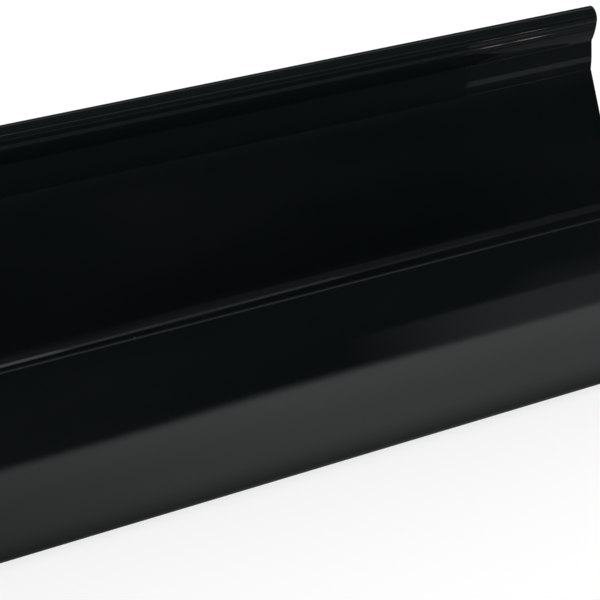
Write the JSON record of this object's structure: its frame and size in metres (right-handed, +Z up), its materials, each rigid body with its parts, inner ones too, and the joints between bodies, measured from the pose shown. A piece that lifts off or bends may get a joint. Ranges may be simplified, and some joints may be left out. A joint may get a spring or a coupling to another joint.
{
  "type": "moulded gutter length",
  "caption": "Length of black plastic moulded rain gutter, open on top, with a flat back, flat base and a beaded sloping front.",
  "frame": {"origin": "middle of the plan at the underside of the flat base", "axes": "+X along the length, +Y from the flat back towards the moulded front, +Z up"},
  "size_m": [2, 0.115, 0.075],
  "materials": {
    "black_upvc": "gloss, as extruded"
  },
  "bodies": {
    "root": {"gutter_length": "black_upvc"}
  },
  "joints": []
}
